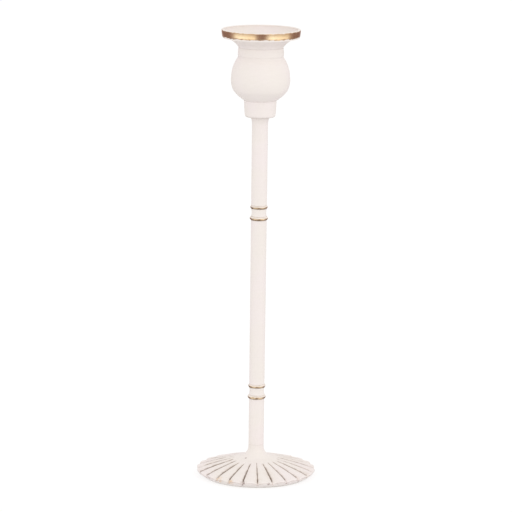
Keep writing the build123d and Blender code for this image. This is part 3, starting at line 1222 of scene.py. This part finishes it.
    def build(self) -> None:
        """Makes and dresses the three lengths and both knots."""
        low_knot, high_knot = (self.knot_ends(z) for _, z in self.knots)
        lower = self.length(self.base_z, low_knot[0], True)
        middle = self.length(low_knot[1], high_knot[0], False)
        upper = self.head(high_knot[1])
        lengths = (("lower", lower, 5.0, low_knot[:1]), ("middle", middle, 7.0, (low_knot[1], high_knot[0])),
                   ("upper", upper, 9.0, high_knot[1:]))
        for level, outline, seed, joints in lengths:
            piece = self.lathe.turn(f"stem_{level}", outline)
            paint = self.paint(f"paint_stem_{level}", seed, *joints)
            self.dress(piece, paint, Body.STAND, Slot.PAINT, f"{level}_stem")
        for number, (level, z) in enumerate(self.knots):
            self.build_knot(level, z, float(number))

    def build_knot(self, level: str, middle: float, seed: float) -> None:
        """Makes and dresses two beads and the spacer between them.

        Args:
            level: which knot, lower or upper.
            middle: height of its middle.
            seed: shifts its unevenness.
        """
        bottom, _ = self.knot_ends(middle)
        low, high = self.gap_ends(middle)
        for place, z, size in (("bottom", bottom, self.bottom_bead), ("top", high, self.top_bead)):
            bead = self.bead(f"bead_{level}_{place}", z, size, seed * 11.0 + z)
            # Clay laid low on each bead: painted shade and painted dark reflection on its lower side.
            shaded_bead_foot = Seam(z + 0.2, 0.85, 0.95, 1.6)
            # The height given here sets where the cream painted highlight starts on the bead's upper side.
            gold = BeadGold(f"gold_{level}_{place}", seed=seed + z * 0.1, seams=(shaded_bead_foot,),
                            highlight_above=z + 0.6 * size[1])
            self.dress(bead, gold.material(), Body.STAND, Slot.GOLD, f"{level}_bead_{place}")
        spacer = self.spacer(f"spacer_{level}", middle)
        paint = self.paint(f"paint_spacer_{level}", 13.0 + seed, low, high)
        self.dress(spacer, paint, Body.STAND, Slot.PAINT, f"{level}_spacer")


@dataclass
class BulbCup(SubAssembly):
    """Collar and the round bulb with its neck, bored for the nozzle."""

    collar_z: float = 307.0
    collar_top_r: float = 13.6
    collar_r: float = 12.95
    collar_low_r: float = 12.0
    collar_round: float = 2.5
    bulb_z: float = 320.9
    bulb_low_r: float = 13.8
    turn_in: Point = (22.4, 328.7)
    belly_z: float = 341.0
    belly_r: float = 24.4
    neck_z: float = 356.6
    neck_r: float = 19.0
    groove_z: float = 357.7
    groove_half: float = 0.45
    groove_depth: float = 0.28
    top_z: float = 364.9
    top_r: float = 18.6
    bore_r: float = 15.0
    bore_z: float = 345.4
    well_r: float = 8.0
    well_z: float = 330.0
    plug_r: float = 9.0
    plug_h: float = 4.0
    recess_r: float = 9.08
    recess_h: float = 4.3

    def collar(self) -> bpy.types.Object:
        """Slightly tapered collar, rounded at its lower edge."""
        z = self.collar_z
        low = (self.collar_low_r, z)
        high = (self.collar_r, z + self.collar_round)
        top = (self.collar_top_r, self.bulb_z)
        recess_z = self.bulb_z - self.recess_h
        outline = [(MORTISE_R, z), low, *arc(low, high, 0.25, 12), *line(high, top, 6)]
        outline += [(self.recess_r, self.bulb_z), (self.recess_r, recess_z), (ROD_HOLE_R, recess_z)]
        outline += [(ROD_HOLE_R, z + MORTISE_H), (MORTISE_R, z + MORTISE_H)]
        return self.lathe.turn("collar", outline, bevel=0.2)

    def bulb(self) -> bpy.types.Object:
        """Bulb, neck and bore in one turned piece."""
        start = (self.bulb_low_r, self.bulb_z)
        belly = (self.belly_r, self.belly_z)
        neck = (self.neck_r, self.neck_z)
        plug_z = self.bulb_z - self.plug_h
        outline = [start, *arc(start, self.turn_in, 0.55, 12), *arc(self.turn_in, belly, 1.0, 14)]
        outline += arc(belly, neck, 1.25, 20)
        outline += [(self.neck_r + 0.02, self.groove_z - self.groove_half),
                    (self.neck_r - self.groove_depth, self.groove_z),
                    (self.neck_r + 0.04, self.groove_z + self.groove_half)]
        outline += arc(outline[-1], (self.top_r + 0.1, self.top_z - 0.3), 0.2, 8)
        outline += arc(outline[-1], (self.top_r - 0.15, self.top_z), 0.08, 3)
        outline += [(self.bore_r, self.top_z), (self.bore_r, self.bore_z), (self.well_r, self.bore_z)]
        outline += [(self.well_r, self.well_z), (ROD_HOLE_R, self.well_z), (ROD_HOLE_R, plug_z)]
        outline += [(self.plug_r, plug_z), (self.plug_r, self.bulb_z)]
        return self.lathe.turn("bulb_and_neck", outline, bevel=0.12)

    def build(self) -> None:
        """Makes and dresses the collar and the bulb."""
        # Painted shade in the wax colour, partly wax in the joints: a faint line where the bulb overhangs the
        # collar, and a strong dark band at the collar's lower edge over the stem.
        shade_under_bulb = Seam(self.bulb_z, 0.3, 0.1)
        seams = (Seam(self.collar_z, 0.5, 0.55), shade_under_bulb)
        collar_paint = ChalkPaint("paint_collar", seed=15.0, seams=seams)
        self.dress(self.collar(), collar_paint.material(), Body.STAND, Slot.PAINT, "cup_collar")
        seams = (shade_under_bulb, Seam(self.groove_z, 0.3, 0.08, 0.2), Seam(self.top_z, 0.4, 0.04))
        bulb_paint = ChalkPaint("paint_bulb", seed=17.0, seams=seams)
        self.dress(self.bulb(), bulb_paint.material(), Body.STAND, Slot.PAINT, "bulb_cup")


@dataclass
class Nozzle(SubAssembly):
    """Loose drip dish with its gilded rim and the metal socket for the candle."""

    seat_z: float = 364.95
    spigot_z: float = 346.0
    spigot_r: float = 14.93
    waist_r: float = 18.6
    flare: float = 1.5
    floor_z: float = 372.0
    hole_r: float = 12.0
    hole_z: float = 348.0
    wall: Point = (30.4, 372.9)
    wall_top: Point = (31.6, 379.0)
    lip_r: float = 30.7
    rim_r: float = 32.85
    rim_foot_r: float = 31.9
    rim_top: float = 380.0
    rim_roll: float = 0.6
    # height of a wide band of painted shade, laid in the wax colour on the dish's underside
    shade_band_z: float = 368.8
    gold_low_z: float = 374.2
    candle_r: float = 11.2
    cup_wall: float = 0.75
    flange_r: float = 14.6
    flange_h: float = 0.8
    lead_in: float = 0.35

    def dish(self) -> bpy.types.Object:
        """Saucer, its conical underside and the spigot."""
        outline = [(0, self.spigot_z), *line((0, self.spigot_z), (self.spigot_r, self.spigot_z), 4)]
        outline += [(self.spigot_r, self.seat_z), (self.waist_r, self.seat_z)]
        outline += arc(outline[-1], self.wall, -self.flare, 24)
        outline += [self.wall_top, (self.lip_r, self.wall_top[1])]
        outline += arc(outline[-1], (23.0, self.floor_z), -1.9, 18)
        outline += line(outline[-1], (self.hole_r, self.floor_z), 6)
        outline += [(self.hole_r, self.hole_z), (0, self.hole_z)]
        return self.lathe.turn("drip_saucer", outline, bevel=0.12)

    def rim(self) -> bpy.types.Object:
        """Hoop with a rolled lip."""
        top = self.rim_top
        foot = (self.rim_foot_r, self.wall[1])
        outline = [self.wall, foot, *arc(foot, (self.rim_r, top - self.rim_roll), 0.24, 16)]
        outline += arc(outline[-1], (self.rim_r - self.rim_roll, top), 0.17, 5)
        outline += [(self.lip_r + self.rim_roll, top)]
        outline += arc(outline[-1], (self.lip_r, top - self.rim_roll), 0.17, 5)
        outline += [(self.lip_r, self.wall_top[1]), self.wall_top]

        def hand_made(p: Vector) -> Vector:
            """Moves the surface by up to 0.08 mm inwards and 0.02 mm outwards.

            Args:
                p: a point of the rim, in millimetres.

            Returns:
                The moved point.
            """
            swell = noise.noise(p * 0.22) * 0.05 - 0.03
            r = math.hypot(p.x, p.y)
            return Vector((p.x * (1 + swell / r), p.y * (1 + swell / r), p.z))

        return self.lathe.turn("gilded_rim", outline, hand_made, steps=256, bevel=0.1)

    def socket(self) -> bpy.types.Object:
        """Spun metal cup with a flange that lies on the floor of the dish."""
        top = self.floor_z + self.flange_h
        out_r = self.candle_r + self.cup_wall
        inner = self.hole_z + self.flange_h
        outline = [(0, self.hole_z), (out_r, self.hole_z), (out_r, self.floor_z)]
        outline += [(self.flange_r, self.floor_z), (self.flange_r, top)]
        outline += [(self.candle_r + self.lead_in, top), (self.candle_r, top - self.lead_in)]
        outline += [(self.candle_r, inner), (0, inner)]
        return self.lathe.turn("candle_cup", outline, bevel=0.15)

    def build(self) -> None:
        """Makes and dresses the three pieces of the nozzle."""
        # The wide second line is painted shade: it lays the wax colour over the downward-facing underside of
        # the dish.
        seams = (Seam(self.seat_z, 0.4, 0.04), Seam(self.shade_band_z, 3.4, 0.1, 0.0))
        dish_paint = ChalkPaint("paint_dish", seed=21.0, seams=seams)
        self.dress(self.dish(), dish_paint.material(), Body.NOZZLE, Slot.PAINT, "drip_dish")
        seams = (Seam(self.gold_low_z, 0.75, 0.8, 2.0), Seam(self.rim_top, 0.25, 0.7, 0.1))
        gold = RimGold("gold_rim", seed=23.0, seams=seams)
        self.dress(self.rim(), gold.material(), Body.NOZZLE, Slot.GOLD, "dish_rim_band")
        brass = SpunMetal("spun_brass", (0.72, 0.52, 0.27, 1.0), (0.55, 0.37, 0.17, 1.0), 0.38)
        self.dress(self.socket(), brass.material(), Body.NOZZLE, Slot.LINER, "candle_socket")


@dataclass
class Hardware:
    """Hidden steel that keeps its CAD shape: the tie rod, nuts, washers, ballast and screws."""

    plated: tuple[str, ...] = ("tie_rod", "base_nut", "base_washer", "cup_nut", "cup_washer",
                               "ballast_screws")
    ballast: tuple[str, ...] = ("ballast_disc",)

    def build(self) -> None:
        """Puts the metals on the CAD nodes."""
        zinc = SpunMetal("zinc_plate", (0.62, 0.62, 0.64, 1.0), (0.45, 0.45, 0.47, 1.0), 0.35).material()
        black = SpunMetal("oiled_steel", (0.16, 0.16, 0.17, 1.0), (0.08, 0.08, 0.085, 1.0), 0.5).material()
        for names, material in ((self.plated, zinc), (self.ballast, black)):
            for name in names:
                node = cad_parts[name]
                node.data.materials.clear()
                node.data.materials.append(material)
                log.info("%s: CAD shape, %s", name, material.name)


@dataclass
class Studio:
    """Pale floor, surroundings, one soft box and the camera."""

    camera_distance: float = 2.498
    camera_height: float = 0.672
    camera_turn: float = math.radians(2.0)
    pitch: float = math.radians(10.946)
    roll: float = math.radians(0.70)
    lens: float = 213.3
    sideways: float = 0.0020
    dim_wall: Colour = (1.0, 0.66, 0.68, 1.0)
    lit_wall: Colour = (1.0, 0.97, 0.94, 1.0)

    def floor(self) -> None:
        """Wide pale disc that the foot stands on."""
        mesh = bmesh.new()
        bmesh.ops.create_circle(mesh, cap_ends=True, radius=6.0, segments=96)
        data = bpy.data.meshes.new("floor")
        mesh.to_mesh(data)
        mesh.free()
        floor = set_out("floor", data)
        material, bench, shader, place = start_material("pale_floor")
        tone = bench.ramp(bench.noise(place, 3.0), 0.3, 0.7)
        bench.feed(shader.inputs["Base Color"], bench.mix(tone, (0.40, 0.40, 0.40, 1), (0.43, 0.43, 0.43, 1)))
        shader.inputs["Roughness"].default_value = 0.9
        shader.inputs["Specular IOR Level"].default_value = 0.0
        shader.inputs["Emission Color"].default_value = (1.0, 1.0, 1.0, 1.0)
        shader.inputs["Emission Strength"].default_value = 0.62
        data.materials.append(material)
        floor.visible_glossy = False
        floor.visible_diffuse = False

    def world(self) -> None:
        """White surroundings for the eye, even fill light, and a dimmer room for reflections."""
        world = bpy.data.worlds.new("studio")
        world.use_nodes = True
        bpy.context.scene.world = world
        tree = world.node_tree
        tree.nodes.clear()
        bench = NodeBench(tree)
        path = bench.add("LightPath")
        x, y, z = bench.axes(bench.add("TexCoord").outputs["Generated"])
        white = self.glow(bench, (1.0, 1.0, 1.0, 1.0), 1.0)
        low_fill = bench.ramp(z, -0.9, -0.2, 0.75, 1.05)
        high_fill = bench.ramp(z, 0.35, 0.95, 1.0, 0.86)
        fill = self.glow(bench, (1.0, 0.99, 0.985, 1.0), bench.times(low_fill, high_fill))
        level = self.room_light(bench, x, y, z)
        room = self.glow(bench, bench.mix(bench.ramp(level, 0.2, 0.9), self.dim_wall, self.lit_wall), level)
        unseen = self.choose(bench, path.outputs["Is Glossy Ray"], fill, room)
        seen = self.choose(bench, path.outputs["Is Camera Ray"], unseen, white)
        out = bench.add("OutputWorld")
        bench.feed(out.inputs["Surface"], seen)
        world.cycles.sampling_method = "NONE"

    def room_light(self, bench: NodeBench, x: Socket, y: Socket, z: Socket) -> Socket:
        """Brightness of the room that reflections show in each direction.

        Args:
            bench: the world's bench.
            x: the direction to the right.
            y: the direction away from the front.
            z: the direction up.

        Returns:
            The brightness: a tall panel on each side of a dark gap in front, a third behind, dim walls and a
            bright ceiling.
        """
        turn = bench.math("ABSOLUTE", bench.math("ARCTAN2", x, bench.times(y, -1.0)))
        front = bench.times(bench.ramp(turn, math.radians(9), math.radians(26)),
                            bench.ramp(turn, math.radians(78), math.radians(106), 1.0, 0.0))
        back = bench.ramp(turn, math.radians(150), math.radians(166), 0.0, 0.8)
        panel = bench.times(bench.math("MAXIMUM", front, back), bench.ramp(z, -0.42, -0.1, 1.0, 0.3))
        level = bench.times(bench.scaled(panel, 1.04, 0.27), bench.ramp(z, -0.97, -0.74, 0.2, 1.0))
        above = bench.ramp(z, 0.0, 0.4)
        return bench.scaled(above, 0.95, bench.times(level, bench.minus(1.0, above)))

    def choose(self, bench: NodeBench, share: Socket, one: Socket, other: Socket) -> Socket:
        """A Mix Shader between two shaders.

        Args:
            bench: the world's bench.
            share: how much of the other shader shows.
            one: the shader at 0.
            other: the shader at 1.

        Returns:
            The shader's output.
        """
        node = bench.add("MixShader")
        for socket, value in zip(node.inputs, (share, one, other)):
            bench.feed(socket, value)
        return node.outputs[0]

    def glow(self, bench: NodeBench, colour: object, strength: object) -> Socket:
        """A Background shader.

        Args:
            bench: the world's bench.
            colour: its colour.
            strength: its strength.

        Returns:
            The shader's output.
        """
        node = bench.add("Background")
        bench.feed(node.inputs["Color"], colour)
        bench.feed(node.inputs["Strength"], strength)
        return node.outputs[0]

    def soft_box(self, name: str, azimuth: float, elevation: float, distance: float, size: Point,
                 power: float, colour: tuple[float, float, float]) -> None:
        """Hangs a soft box that faces the middle of the object.

        Args:
            name: name of the lamp.
            azimuth: degrees to the right of the camera, seen from above.
            elevation: degrees above the middle of the object.
            distance: metres from it.
            size: width and height in metres.
            power: watts.
            colour: colour of the light.
        """
        data = bpy.data.lights.new(name, "AREA")
        data.shape = "RECTANGLE"
        data.size, data.size_y = size
        data.energy = power
        data.color = colour
        lamp = set_out(name, data)
        turn, tilt = math.radians(azimuth), math.radians(elevation)
        away = Vector((math.sin(turn) * math.cos(tilt), -math.cos(turn) * math.cos(tilt), math.sin(tilt)))
        lamp.location = Vector((0, 0, 0.2)) + away * distance
        lamp.rotation_euler = away.to_track_quat("Z", "Y").to_euler()
        lamp.visible_camera = False

    def lights(self) -> None:
        """One soft box to the right of the camera, over the even fill light."""
        self.soft_box("key", 28, 32, 2.5, (1.5, 1.5), 5.0, (1.0, 0.99, 0.97))

    def camera(self) -> None:
        """Long lens a little above the dish, with the slight lean of the view."""
        data = bpy.data.cameras.new("camera")
        data.lens = self.lens
        data.sensor_width = 36.0
        data.clip_end = 50.0
        data.dof.use_dof = False
        camera = set_out("camera", data)
        around = Matrix.Rotation(-self.camera_turn, 4, "Z")
        place = Matrix.Translation((-self.sideways, -self.camera_distance, self.camera_height))
        aim = Matrix.Rotation(math.pi / 2 - self.pitch, 4, "X") @ Matrix.Rotation(self.roll, 4, "Z")
        camera.matrix_world = around @ place @ aim
        bpy.context.scene.camera = camera

    def build(self) -> None:
        """Sets up the whole studio."""
        self.camera()
        self.floor()
        self.world()
        self.lights()
        bpy.context.scene.view_settings.view_transform = "Standard"
        bpy.context.scene.view_settings.look = "None"


def main() -> None:
    """Builds the studio and every sub-assembly in order."""
    logging.basicConfig(level=logging.INFO, format="%(name)s: %(message)s")
    Studio().build()
    lathe = Lathe()
    for group in (FlutedFoot(lathe), Stem(lathe), BulbCup(lathe), Nozzle(lathe)):
        group.build()
        group.report()
    Hardware().build()


if __name__ == "__main__":
    main()
